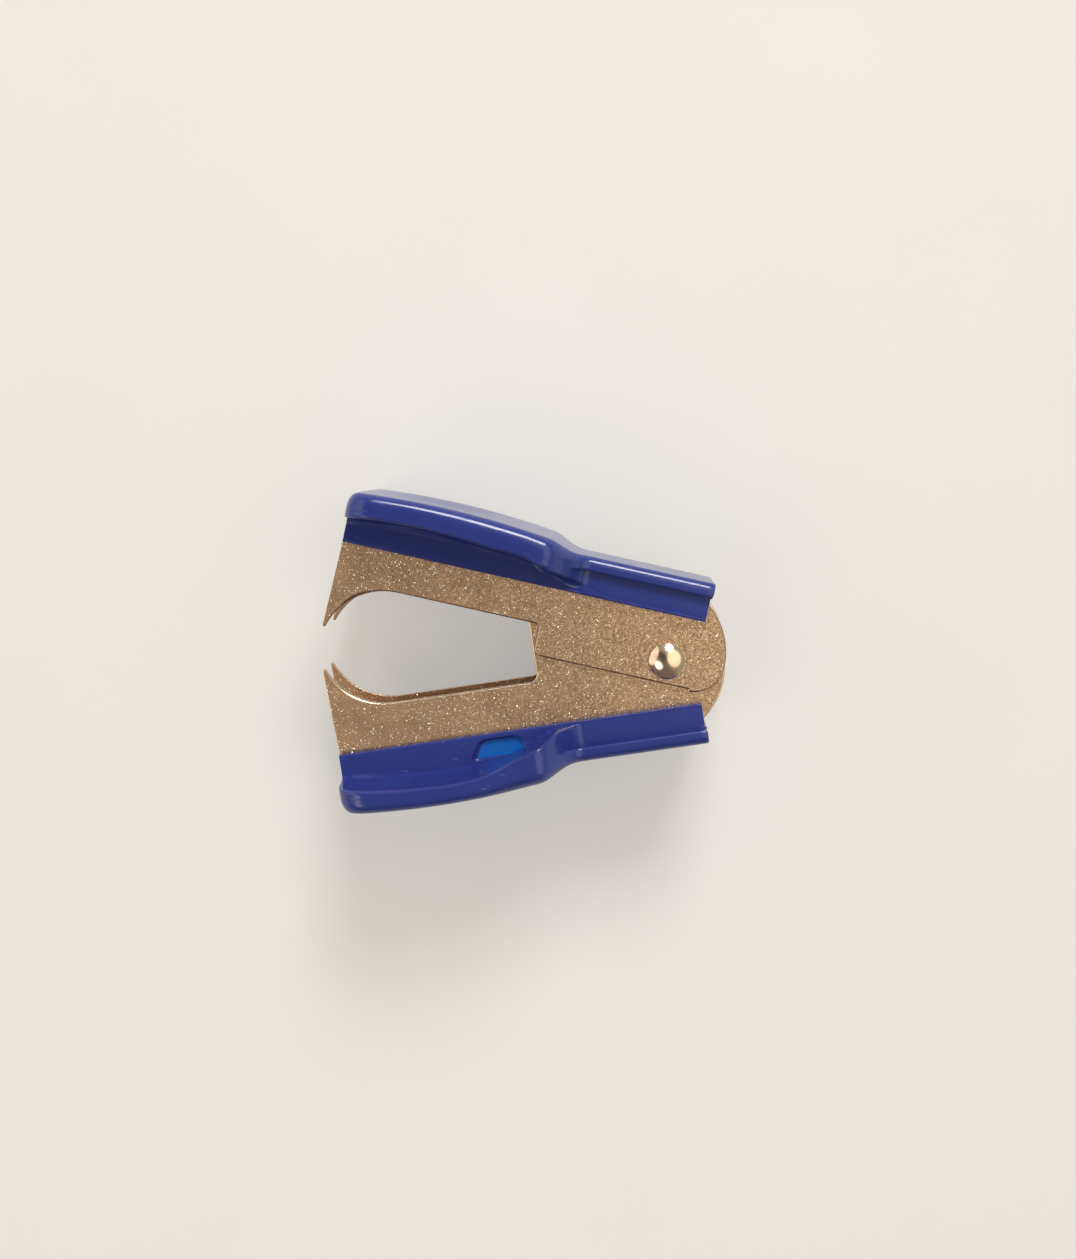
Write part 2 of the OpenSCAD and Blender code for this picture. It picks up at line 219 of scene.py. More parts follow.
class ShaderSheet:
    """The node tree of a material or of the world, cleared and ready to be drawn on."""

    def __init__(self, tree: bpy.types.NodeTree) -> None:
        """Clears the tree and keeps it."""
        self.tree = tree
        self.tree.nodes.clear()

    def node(
        self,
        kind: str,
        settings: Mapping[str, Any],
        inputs: Mapping[Union[str, int], Any],
        output: Union[str, int] = 0,
    ) -> Socket:
        """Adds a node.

        Args:
            kind: The node's type.
            settings: The node's own settings, set first. A ramp's span is set as its stops.
            inputs: Values or links of its sockets, by name or number.
            output: The output that is handed back, by name or number.

        Returns:
            That output, or an input of a node that has no outputs.
        """
        made = self.tree.nodes.new(kind)
        for key, value in settings.items():
            if key == "span":
                for stop, place in zip(made.color_ramp.elements, value):
                    stop.position = place
            else:
                setattr(made, key, value)
        for key, value in inputs.items():
            if isinstance(value, Socket):
                self.tree.links.new(value.link, made.inputs[key])
            else:
                made.inputs[key].default_value = value
        return Socket(self, (made.outputs or made.inputs)[output])

    def spot(self) -> Socket:
        """Returns the place on the piece, in metres."""
        return self.node("ShaderNodeTexCoord", {}, {}, "Object")

    def noise(self, size_mm: float, detail: float = 2.0, stretch: Point3 = (1.0, 1.0, 1.0)) -> Socket:
        """Soft noise over the piece.

        Args:
            size_mm: Size of its blotches.
            detail: How many finer layers it has.
            stretch: How much denser it is along each axis.

        Returns:
            A level from 0 to 1, about 0.5 on average.
        """
        place = self.node("ShaderNodeMapping", {}, {"Vector": self.spot(), "Scale": stretch})
        wanted = {"Vector": place, "Scale": 1.0 / (size_mm * MM), "Detail": detail}
        return self.node("ShaderNodeTexNoise", {}, wanted)

    def ramp(self, level: Socket, span: Point2) -> Socket:
        """Returns a level that climbs from 0 to 1 over a span of another one."""
        return self.node("ShaderNodeValToRGB", {"span": span}, {0: level})

    def tint(self, share: Socket, first: Tone, second: Tone) -> Socket:
        """Returns a mix of two colours with the given share of the second."""
        tones = [tone if isinstance(tone, Socket) else (*tone, 1.0) for tone in (first, second)]
        return self.node("ShaderNodeMix", {"data_type": "RGBA"}, {0: share, 6: tones[0], 7: tones[1]}, 2)

    def vector(self, operation: str, *terms: Any) -> Socket:
        """Returns the result of a Vector Math node on its terms."""
        return self.node("ShaderNodeVectorMath", {"operation": operation}, dict(enumerate(terms)))

    def bump(self, height: Socket, depth_mm: float) -> Socket:
        """Returns the normal of a surface with a relief from 0 to 1, which is as deep as given."""
        return self.node("ShaderNodeBump", {}, {"Height": height, "Distance": depth_mm * MM})

    def surface(self, **inputs: Any) -> None:
        """Ends the sheet in a Principled surface with the given sockets, spaces written as _."""
        named = {key.replace("_", " "): value for key, value in inputs.items()}
        skin = self.node("ShaderNodeBsdfPrincipled", {}, named)
        self.node("ShaderNodeOutputMaterial", {}, {"Surface": skin})


@dataclass(frozen=True)
class Finish:
    """A surface finish, whose material is made when it is first asked for."""

    name: str

    def material(self) -> bpy.types.Material:
        """Returns the finish's material."""
        made = bpy.data.materials.get(self.name)
        if made is None:
            made = bpy.data.materials.new(self.name)
            made.use_nodes = True
            self.shade(ShaderSheet(made.node_tree))
        return made

    def shade(self, sheet: ShaderSheet) -> None:
        """Draws the finish's nodes on a cleared sheet."""
        raise NotImplementedError


@dataclass(frozen=True)
class GrainedSteel(Finish):
    """Plated sheet steel whose fine grain sparkles, with a painted glint on its sparse flakes."""

    pale: Colour = (0.76, 0.53, 0.36)
    deep: Colour = (0.52, 0.35, 0.23)
    painted_glint: Colour = (1.0, 0.97, 0.90)
    grain_mm: float = 0.14
    flake_mm: float = 0.27
    cloud_mm: float = 5.0
    grain_share: float = 0.6
    shade_span: Point2 = (0.2, 0.8)
    core_span: Point2 = (0.22, 0.42)
    lucky_span: Point2 = (0.62, 0.86)
    tilt: float = 0.12
    flake_tilt: float = 0.60
    roughness: float = 0.28
    cloud_roughness: float = 0.08

    def _cells(self, sheet: ShaderSheet, size_mm: float, output: str) -> Socket:
        """Returns an output of a pattern of facets of the given size."""
        wanted = {"Vector": sheet.spot(), "Scale": 1.0 / (size_mm * MM)}
        return sheet.node("ShaderNodeTexVoronoi", {}, wanted, output)

    def shade(self, sheet: ShaderSheet) -> None:
        """Draws facets that each lean their own way, and sparse flakes among them that lean further and
        carry a painted glint in their colour.
        """
        lean = self._cells(sheet, self.grain_mm, "Color")
        chance = sheet.node("ShaderNodeSeparateColor", {}, {0: lean}, "Red")
        cloud = sheet.noise(self.cloud_mm, detail=3.0)
        blend = chance * self.grain_share + cloud * (1.0 - self.grain_share)
        shade = sheet.ramp(blend, self.shade_span)
        body = sheet.tint(shade, self.deep, self.pale)
        flake = self._cells(sheet, self.flake_mm, "Color")
        lucky = sheet.node("ShaderNodeSeparateColor", {}, {0: flake}, "Green")
        core = 1.0 - sheet.ramp(self._cells(sheet, self.flake_mm, "Distance"), self.core_span)
        flake_and_painted_glint = sheet.ramp(lucky, self.lucky_span) * core
        normal = sheet.node("ShaderNodeNewGeometry", {}, {}, "Normal")
        away = sheet.vector("SUBTRACT", lean, (0.5, 0.5, 0.5))
        reach = self.tilt + self.flake_tilt * flake_and_painted_glint
        swung = sheet.node("ShaderNodeVectorMath", {"operation": "SCALE"}, {0: away, "Scale": reach})
        sheet.surface(
            # painted glint: the flakes' colour is lifted towards near-white so that they sparkle under any
            # light
            Base_Color=sheet.tint(flake_and_painted_glint, body, self.painted_glint),
            Roughness=self.roughness + self.cloud_roughness * cloud,
            Metallic=1.0,
            Normal=sheet.vector("NORMALIZE", sheet.vector("ADD", normal, swung)),
        )


@dataclass(frozen=True, kw_only=True)
class StreakedMetal(Finish):
    """Bare metal with soft patches of a second colour and fine lines that run one way."""

    colour: Colour
    patch: Colour
    patch_mm: float
    patch_detail: float = 3.0
    patch_span: Point2 = (0.4, 0.7)
    patch_share: float = 1.0
    patch_roughness: float = 0.0
    line_mm: float
    line_stretch: Point3
    line_depth_mm: float
    line_roughness: float = 0.15
    roughness: float

    def shade(self, sheet: ShaderSheet) -> None:
        """Draws the patches and the lines."""
        patch = sheet.ramp(sheet.noise(self.patch_mm, self.patch_detail), self.patch_span)
        line = sheet.noise(self.line_mm, stretch=self.line_stretch)
        sheet.surface(
            Base_Color=sheet.tint(self.patch_share * patch, self.colour, self.patch),
            Roughness=self.roughness + self.patch_roughness * patch + self.line_roughness * line,
            Metallic=1.0,
            Normal=sheet.bump(line, self.line_depth_mm),
        )


@dataclass(frozen=True)
class MouldedPlastic(Finish):
    """Glossy coloured plastic as it comes from a polished mould."""

    colour: Colour = (0.015, 0.027, 0.18)
    bloom: Colour = (0.022, 0.038, 0.22)
    scuffed: Colour = (0.06, 0.08, 0.28)
    flow_mm: float = 7.0
    skin_mm: float = 0.9
    skin_depth_mm: float = 0.004
    scuff_mm: float = 0.55
    scuff_stretch: Point3 = (0.25, 1.0, 3.0)
    scuff_span: Point2 = (0.70, 0.78)
    rubbed_span: Point2 = (0.5, 0.65)
    scuff_share: float = 0.5
    roughness: float = 0.15
    flow_roughness: float = 0.08
    scuff_roughness: float = 0.25

    def shade(self, sheet: ShaderSheet) -> None:
        """Draws the moulded skin, its slight unevenness and a few hairline scuffs."""
        flow = sheet.noise(self.flow_mm, detail=3.0)
        line = sheet.noise(self.scuff_mm, detail=1.0, stretch=self.scuff_stretch)
        scuff = sheet.ramp(line, self.scuff_span) * sheet.ramp(flow, self.rubbed_span)
        colour = sheet.tint(flow, self.colour, self.bloom)
        sheet.surface(
            Base_Color=sheet.tint(self.scuff_share * scuff, colour, self.scuffed),
            Roughness=self.roughness + self.flow_roughness * flow + self.scuff_roughness * scuff,
            Normal=sheet.bump(sheet.noise(self.skin_mm), self.skin_depth_mm),
        )


@dataclass(frozen=True)
class PlainPaper(Finish):
    """The pale sheet that the remover lies on."""

    colour: Colour = (0.75, 0.745, 0.735)
    glow: float = 0.45
    mottle_mm: float = 30.0
    mottle_lift: float = 1.03

    def shade(self, sheet: ShaderSheet) -> None:
        """Draws a matt sheet with barely any mottling, whose shadows look pale."""
        lighter = tuple(value * self.mottle_lift for value in self.colour)
        paper = sheet.tint(sheet.noise(self.mottle_mm), self.colour, lighter)
        matt = sheet.node("ShaderNodeBsdfDiffuse", {}, {"Color": paper})
        light = sheet.node("ShaderNodeEmission", {}, {"Color": paper})
        seen = sheet.node("ShaderNodeLightPath", {}, {}, "Is Camera Ray")
        mirrored = sheet.node("ShaderNodeLightPath", {}, {}, "Is Glossy Ray")
        share = (seen + mirrored) * self.glow
        skin = sheet.node("ShaderNodeMixShader", {}, {0: share, 1: matt, 2: light})
        sheet.node("ShaderNodeOutputMaterial", {}, {"Surface": skin})


STEEL = GrainedSteel("grained_steel")
# Dark colour on the outer jaw's rolled and cut edges: painted shade and dark reflection along them.
SHADED_EDGE = StreakedMetal(
    "rolled_edge", colour=(0.30, 0.20, 0.13), patch=(0.46, 0.33, 0.22), patch_mm=1.4,
    line_mm=0.10, line_stretch=(0.3, 0.3, 1.0), line_depth_mm=0.004, roughness=0.24,
)
# Pale edge colour: a painted highlight, used on every edge of the inner jaw and on the outer jaw's
# forward-facing edges.
LIT_EDGE = replace(SHADED_EDGE, name="rubbed_edge", colour=(0.66, 0.51, 0.36), patch=(0.84, 0.69, 0.51))
POLISHED = StreakedMetal(
    "polished_steel", colour=(0.84, 0.70, 0.54), patch=(0.62, 0.46, 0.32), patch_mm=1.6, patch_detail=4.0,
    patch_span=(0.45, 0.75), patch_share=0.6, patch_roughness=0.10,
    line_mm=0.25, line_stretch=(1.0, 6.0, 1.0), line_depth_mm=0.003, line_roughness=0.06, roughness=0.10,
)
WIRE = StreakedMetal(
    "drawn_wire", colour=(0.42, 0.42, 0.43), patch=(0.22, 0.21, 0.20), patch_mm=2.5,
    line_mm=0.12, line_stretch=(1.0, 1.0, 4.0), line_depth_mm=0.006, roughness=0.3,
)
BLUE = MouldedPlastic("moulded_blue")
# Paler azure blue for the pocket's thin floor and round end: painted light shining through the thin wall.
GLOW_BLUE = replace(BLUE, name="moulded_blue_thin", colour=(0.004, 0.10, 0.42), bloom=(0.0046, 0.115, 0.483))


def face_outwards(shape: Shape) -> None:
    """Turns the faces of a closed mesh outwards, after it was spun, mirrored or placed."""
    shape.normal_update()
    bmesh.ops.recalc_face_normals(shape, faces=shape.faces)


def new_object(name: str, shape: Shape, *finishes: Finish) -> Object:
    """Makes an object in the scene.

    Args:
        name: Its name.
        shape: Its mesh, in the frame's metres, which is freed.
        finishes: Its material slots, in order.

    Returns:
        The object.
    """
    mesh = bpy.data.meshes.new(name)
    shape.to_mesh(mesh)
    shape.free()
    for finish in finishes:
        mesh.materials.append(finish.material())
    made = bpy.data.objects.new(name, mesh)
    bpy.context.scene.collection.objects.link(made)
    return made


def shade_smooth(made: Object, sharp_angle: float) -> None:
    """Shades an object smooth, apart from edges that turn by more than an angle in degrees."""
    made.data.shade_smooth()
    made.data.set_sharp_from_angle(angle=math.radians(sharp_angle))


def carve(made: Object, cutter: Object) -> None:
    """Cuts one object out of another, whose modifiers are applied first.

    Args:
        made: The object that is cut. Its mesh is replaced.
        cutter: The object that is cut out of it, and removed.
    """
    cut = made.modifiers.new("cut", "BOOLEAN")
    cut.operation = "DIFFERENCE"
    cut.solver = "EXACT"
    cut.material_mode = "TRANSFER"
    cut.object = cutter
    view = bpy.context.evaluated_depsgraph_get()
    carved = bpy.data.meshes.new_from_object(made.evaluated_get(view))
    made.modifiers.clear()
    whole = made.data
    made.data = carved
    bpy.data.meshes.remove(whole)
    carved.name = made.name
    bpy.data.objects.remove(cutter)


@dataclass
class Piece:
    """One piece of the remover: its name, its CAD node, its half, its finish and its slot."""

    name: str
    node: str
    half: Half
    finish: Finish
    slot: str

    def settle(self, made: Object) -> Object:
        """Puts a finished object, which it returns, in the place of its CAD node."""
        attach(made, self.half.value)
        return self.declare(made)

    def declare(self, made: Object) -> Object:
        """Hides the CAD node that an object stands for, and returns the object."""
        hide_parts(self.node)
        return made


@dataclass
class Jaw(Piece):
    """A folded jaw, stamped from sheet, whose edges are rolled over by the punch."""

    edge_finish: Finish
    front_highlight_finish: Finish
    width: float
    hole_r: float
    weld_mm: float = 0.001
    flat_angle: float = 0.4
    corner_angle: float = 40.0
    sharp_angle: float = 50.0
    claw_roll: float = 0.5
    plain_roll: float = 0.24
    inner_roll: float = 0.07
    roll_steps: int = 4
    roll_profile: float = 0.5
    skin_margin: float = 0.02
    claw_span: Point2 = (42.0, 48.6)
    tip_span: Point2 = (48.6, 51.4)
    tip_roll: float = 0.12
    claw_top: float = 2.0
    fold_foot: float = 9.3
    cut_lean: float = 0.3
    cut_front: float = 0.6
    front_lean: float = -0.3
    hole_margin: float = 0.05
    hole_sides: int = 96
    normal_weight: int = 60

    def _roll(self, spot: Vector) -> float:
        """How far the edge at a place is rolled over.

        Args:
            spot: The place, in the jaw's own millimetres.

        Returns:
            Width of the rolled edge.
        """
        if spot.y > self.fold_foot:
            return 0.0
        if abs(spot.z) < self.width / 2.0 - self.skin_margin:
            return self.inner_roll
        s = -spot.x
        if s < self.claw_span[0] or spot.y > self.claw_top:
            return self.plain_roll
        if s > self.tip_span[0]:
            return mix(self.claw_roll, self.tip_roll, ease(s, self.tip_span))
        return mix(self.plain_roll, self.claw_roll, ease(s, self.claw_span))

    def _is_cut(self, face: bmesh.types.BMFace) -> bool:
        """Tells whether a face is a cut through the sheet.

        Args:
            face: The face, in the frame's metres.

        Returns:
            True for a sheared face, False for a face of the sheet itself.
        """
        home = self.half.home()
        way = (home.to_3x3() @ face.normal).normalized()
        spot = home @ face.calc_center_median()
        return abs(way.z) < self.cut_lean and (abs(way.x) > self.cut_front or spot.y < self.fold_foot)

    def _plug(self, shape: Shape) -> None:
        """Closes the rivet's holes in the CAD solid, so that its edges roll cleanly.

        Args:
            shape: The solid, in the frame's metres.
        """
        home = self.half.home()
        reach = self.hole_r + self.hole_margin
        inside = {vert for vert in shape.verts if (home @ vert.co).xy.length < reach}
        walls = [face for face in shape.faces if inside.issuperset(face.verts)]
        bmesh.ops.delete(shape, geom=walls, context="FACES")
        bmesh.ops.holes_fill(shape, edges=[edge for edge in shape.edges if edge.is_boundary])
        face_outwards(shape)

    def _blank(self) -> Shape:
        """Copies the CAD solid without its holes, with its edges' rolls and its finishes marked.

        Returns:
            The copy, in the frame's metres.
        """
        home = self.half.home()
        shape = bmesh.new()
        shape.from_mesh(frame["nodes"][self.node].data)
        bmesh.ops.remove_doubles(shape, verts=shape.verts, dist=self.weld_mm * MM)
        self._plug(shape)
        flat = math.radians(self.flat_angle)
        bmesh.ops.dissolve_limit(shape, angle_limit=flat, verts=shape.verts, edges=shape.edges)
        weight = shape.edges.layers.float.new("bevel_weight_edge")
        limit = math.radians(self.corner_angle)
        for edge in shape.edges:
            if edge.is_manifold and edge.calc_face_angle() > limit:
                spot = home @ ((edge.verts[0].co + edge.verts[1].co) / 2.0)
                edge[weight] = self._roll(spot) / self.claw_roll
        for face in shape.faces:
            face.material_index = JawSlot.EDGE if self._is_cut(face) else JawSlot.SHEET
        return shape

    def _drill(self) -> Object:
        """Returns the solid that is cut out for the rivet."""
        shape = bmesh.new()
        size = {"radius1": self.hole_r, "radius2": self.hole_r, "depth": 2.0 * self.width}
        bmesh.ops.create_cone(shape, cap_ends=True, segments=self.hole_sides, **size)
        shape.transform(self.half.placing())
        face_outwards(shape)
        return new_object(self.name + "_drill", shape, self.edge_finish)

    def _rub(self, made: Object) -> None:
        """Gives the edges that face forwards their own finish, whose pale colour is a painted highlight from
        the light on the left.

        Args:
            made: The jaw's object.
        """
        turn = self.half.home().to_3x3()
        for face in made.data.polygons:
            way = (turn @ face.normal).normalized()
            if face.material_index == JawSlot.EDGE and way.x < self.front_lean:
                face.material_index = JawSlot.FRONT

    def build(self) -> Object:
        """Returns the jaw: the CAD solid with its cut edges rolled, then drilled for the rivet."""
        finishes = dict.fromkeys((self.finish, self.edge_finish, self.front_highlight_finish))
        made = new_object(self.name, self._blank(), *finishes)
        rolled = made.modifiers.new("rolled_edges", "BEVEL")
        rolled.limit_method = "WEIGHT"
        rolled.width = self.claw_roll * MM
        rolled.segments = self.roll_steps
        rolled.profile = self.roll_profile
        rolled.material = JawSlot.EDGE
        rolled.use_clamp_overlap = False
        carve(made, self._drill())
        if self.front_highlight_finish != self.edge_finish:
            self._rub(made)
        shade_smooth(made, self.sharp_angle)
        weighted = made.modifiers.new("even_normals", "WEIGHTED_NORMAL")
        weighted.keep_sharp = True
        weighted.weight = self.normal_weight
        return self.settle(made)


@dataclass
class PivotRivet(Piece):
    """The rivet through both jaws: a dome head, a shank and a formed tail with a dimple."""

    span_mm: float
    shank_r: float = 2.0
    head_r: float = 2.725
    head_h: float = 1.5
    tail_r: float = 2.6
    tail_h: float = 1.0
    dimple_r: float = 0.9
    dimple_depth: float = 0.6
    rim_h: float = 0.55
    dome_steps: int = 14
    turn_steps: int = 72
    weld_mm: float = 0.0005
    sharp_angle: float = 50.0

    def _profile(self) -> list[Point2]:
        """Returns the turned outline as distances from the axis and heights, from head to tail."""
        half_span = self.span_mm / 2.0
        head = [(r, half_span + h) for r, h in self._dome(self.head_r, self.head_h)]
        tail = [(r, -half_span - h) for r, h in reversed(self._dome(self.tail_r, self.tail_h))]
        rim = [point for point in tail if point[0] > self.dimple_r]
        dimple = (0.0, -half_span - self.tail_h + self.dimple_depth)
        return [*head, (self.shank_r, half_span), (self.shank_r, -half_span), *rim, dimple]

    def _dome(self, radius: float, height: float) -> list[Point2]:
        """Outline of a dome that stands on a low upright rim.

        Args:
            radius: Radius of the dome's foot.
            height: Height of the dome with its rim.

        Returns:
            Points as distance from the axis and height, from the top down to the foot.
        """
        cap_h = height - self.rim_h
        ball_r = (radius**2 + cap_h**2) / (2.0 * cap_h)
        spread = math.asin(radius / ball_r)
        angles = [spread * step / self.dome_steps for step in range(self.dome_steps + 1)]
        cap = [(ball_r * math.sin(a), height - ball_r * (1.0 - math.cos(a))) for a in angles]
        return [*cap, (radius, 0.0)]

    def build(self) -> Object:
        """Returns the rivet, spun from its outline."""
        shape = bmesh.new()
        verts = [shape.verts.new((reach, 0.0, height)) for reach, height in self._profile()]
        edges = [shape.edges.new(pair) for pair in zip(verts, verts[1:])]
        turn = {"axis": ALONG_RIVET, "angle": math.tau, "steps": self.turn_steps}
        bmesh.ops.spin(shape, geom=verts + edges, use_merge=True, **turn)
        bmesh.ops.remove_doubles(shape, verts=shape.verts, dist=self.weld_mm)
        face_outwards(shape)
        shape.transform(AT_PIVOT)
        made = new_object(self.name, shape, self.finish)
        shade_smooth(made, self.sharp_angle)
        return self.settle(made)


class WireBender:
    """Bends a round wire from one end to the other, as a spring maker's machine does."""

    def __init__(self, radius: float, start: Vector, heading: Vector, sides: int) -> None:
        """Starts a wire.

        Args:
            radius: Its radius.
            start: Where it begins.
            heading: The way that it runs there.
            sides: Number of its sides.
        """
        self.shape = bmesh.new()
        self.place = start
        self.heading = heading.normalized()
        turn = self.heading.to_track_quat("Z", "Y").to_matrix().to_4x4()
        stand = Matrix.Translation(start) @ turn
        bmesh.ops.create_circle(self.shape, cap_ends=False, segments=sides, radius=radius, matrix=stand)
        self.ring = list(self.shape.edges)
        self._close()

    def _close(self) -> None:
        """Caps the wire at its last ring of edges."""
        bmesh.ops.edgeloop_fill(self.shape, edges=self.ring)

    def feed(self, length: float) -> None:
        """Pushes a straight length of wire out."""
        geom = bmesh.ops.extrude_edge_only(self.shape, edges=self.ring)["geom"]
        verts = [item for item in geom if isinstance(item, bmesh.types.BMVert)]
        bmesh.ops.translate(self.shape, verts=verts, vec=self.heading * length)
        self.ring = [item for item in geom if isinstance(item, Edge) and item.is_boundary]
        self.place = self.place + self.heading * length

    def bend(self, radius: float, angle: float, steps: int, rise: float = 0.0) -> None:
        """Bends the wire about an axis along the rivet.

        Args:
            radius: Radius of the bend at the middle of the wire.
            angle: Angle of the bend, clockwise if below 0.
            steps: Rings in the bend.
            rise: How far the bend climbs along the rivet.
        """
        way = math.copysign(1.0, angle)
        centre = self.place - self.heading.cross(ALONG_RIVET) * radius * way
        climb = ALONG_RIVET * rise
        verts = list(dict.fromkeys(vert for edge in self.ring for vert in edge.verts))
        turn = {"cent": centre, "axis": ALONG_RIVET, "dvec": climb / steps, "angle": angle, "steps": steps}
        spun = bmesh.ops.spin(self.shape, geom=verts + self.ring, **turn)
        self.ring = [item for item in spun["geom_last"] if isinstance(item, Edge)]
        swing = Matrix.Rotation(angle, 3, "Z")
        self.place = centre + swing @ (self.place - centre) + climb
        self.heading = swing @ self.heading

    def cut(self) -> Shape:
        """Returns the wire, closed at its far end."""
        self._close()
        face_outwards(self.shape)
        return self.shape


@dataclass
class TorsionSpring(Piece):
    """The spring that holds the jaws open: a coil round the rivet with a leg and a foot in each jaw."""

    wire_r: float = 0.55
    coil_r: float = 2.85
    coil_turns: int = 4
    coil_pitch: float = 1.3
    leg_reach: float = 12.0
    foot_h: float = 9.4
    foot_l: float = 4.5
    knee_r: float = 1.6
    wire_sides: int = 16
    steps_per_turn: int = 40
    knee_steps: int = 8
    sharp_angle: float = 50.0

    def build(self) -> Object:
        """Returns the spring, bent from one foot to the other."""
        lean = Matrix.Rotation(-REST_HALF_ANGLE, 3, "Z")
        foot_end = lean @ Vector((-self.leg_reach - self.foot_l, self.foot_h, 0.0))
        knee = lean @ Vector((-self.leg_reach, self.foot_h, 0.0))
        leave = math.atan2(knee.y, knee.x) - math.acos(self.coil_r / knee.length)
        touch = Vector((math.cos(leave), math.sin(leave), 0.0)) * self.coil_r
        winding = math.tau * self.coil_turns + 2.0 * leave
        coil_l = self.coil_pitch * winding / math.tau
        foot_way = (knee - foot_end).normalized()
        leg_way = (touch - knee).normalized()
        knee_angle = math.atan2(foot_way.cross(leg_way).z, foot_way.dot(leg_way))
        trim = self.knee_r * math.tan(abs(knee_angle) / 2.0)
        foot = self.foot_l - trim
        leg = (touch - knee).length - trim

        start = foot_end + ALONG_RIVET * coil_l / 2.0
        wire = WireBender(self.wire_r, start, foot_way, self.wire_sides)
        wire.feed(foot)
        wire.bend(self.knee_r, knee_angle, self.knee_steps)
        wire.feed(leg)
        rings = round(self.steps_per_turn * winding / math.tau)
        wire.bend(self.coil_r, -winding, rings, -coil_l)
        wire.feed(leg)
        wire.bend(self.knee_r, knee_angle, self.knee_steps)
        wire.feed(foot)
        shape = wire.cut()
        shape.transform(AT_PIVOT)
        made = new_object(self.name, shape, self.finish)
        shade_smooth(made, self.sharp_angle)
        reach = ALONG_RIVET * (coil_l / 2.0 - self.wire_r) * MM
        PIVOT + reach
        PIVOT - reach
        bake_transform(made)
        return self.declare(made)


@dataclass
class Pocket:
    """The leaning pocket, round at its rear end, that thins one skirt of a grip."""

    start: float = 24.7
    length: float = 6.3
    lean: float = 1.9
    low: float = 7.8
    high: float = 11.1
    depth: float = 0.75
    front_slope: float = 0.5
    corner_r: float = 0.8
    slope: float = 0.45
    slope_steps: int = 4
    slope_profile: float = 0.5
    end_steps: int = 14
    cutter_h: float = 3.0
    floor_lean: float = 0.99
    weld_mm: float = 0.001

    def cutter(self, skirt_z: float, side: Side) -> Shape:
        """Makes the solid that is cut out of the skirt.

        Args:
            skirt_z: Distance of the skirt's face from the jaw's middle plane.
            side: Which skirt.

        Returns:
            The solid, in the jaw's own millimetres.
        """
        shape = bmesh.new()
        front = -self.start - self.length + self.front_slope
        end_r = (self.high - self.low) / 2.0
        floor = skirt_z - self.depth
        along = (-self.start, front + self.lean / 2.0, front - self.lean / 2.0, -self.start)
        heights = (self.low, self.low, self.high, self.high)
        verts = [shape.verts.new((x, y, floor)) for x, y in zip(along, heights)]
        for pair in zip(verts, verts[1:]):
            shape.edges.new(pair)
        turn = {"axis": ALONG_RIVET, "angle": math.pi, "steps": self.end_steps}
        bmesh.ops.spin(shape, geom=verts[:1], cent=(-self.start, self.low + end_r, floor), **turn)
        bmesh.ops.remove_doubles(shape, verts=shape.verts, dist=self.weld_mm)
        base = bmesh.ops.edgeloop_fill(shape, edges=list(shape.edges))["faces"]
        raised = bmesh.ops.extrude_face_region(shape, geom=base)["geom"]
        top = [item for item in raised if isinstance(item, bmesh.types.BMVert)]
        bmesh.ops.translate(shape, verts=top, vec=ALONG_RIVET * self.depth * self.cutter_h)
        front_top = [vert for vert in top if vert.co.x < -self.start - self.length / 2.0]
        bmesh.ops.translate(shape, verts=front_top, vec=(-self.cutter_h * self.front_slope, 0.0, 0.0))
        uprights = [edge for edge in shape.edges if self._is_corner(edge)]
        self._round(shape, uprights, self.corner_r)
        feet = [edge for edge in shape.edges if self._is_foot(edge, floor)]
        self._round(shape, feet, self.slope)
        shape.normal_update()
        # The floor and the round end get the paler finish, which is painted light shining through the thin
        # wall.
        for face in shape.faces:
            is_floor = abs(face.normal.z) > self.floor_lean
            is_end = face.calc_center_median().x > -self.start
            face.material_index = PocketSlot.THIN if is_floor or is_end else PocketSlot.FULL
        if side is Side.FAR:
            shape.transform(Matrix.Scale(-1.0, 4, ALONG_RIVET))
        face_outwards(shape)
        return shape

    def _round(self, shape: Shape, edges: Sequence[Edge], reach: float) -> None:
        """Rounds edges of the cutter, to the given reach on each side."""
        round_over = {"affect": "EDGES", "segments": self.slope_steps, "profile": self.slope_profile}
        bmesh.ops.bevel(shape, geom=edges, offset=reach, material=-1, clamp_overlap=True, **round_over)

    def _is_corner(self, edge: Edge) -> bool:
        """Tells whether an edge stands in a corner of the pocket's leaning end."""
        ends = [vert.co for vert in edge.verts]
        upright = abs(ends[0].z - ends[1].z) > self.depth
        return upright and ends[0].x < -self.start - self.length / 2.0

    def _is_foot(self, edge: Edge, floor: float) -> bool:
        """Tells whether an edge runs round the pocket's floor."""
        return all(abs(vert.co.z - floor) < self.weld_mm for vert in edge.verts)


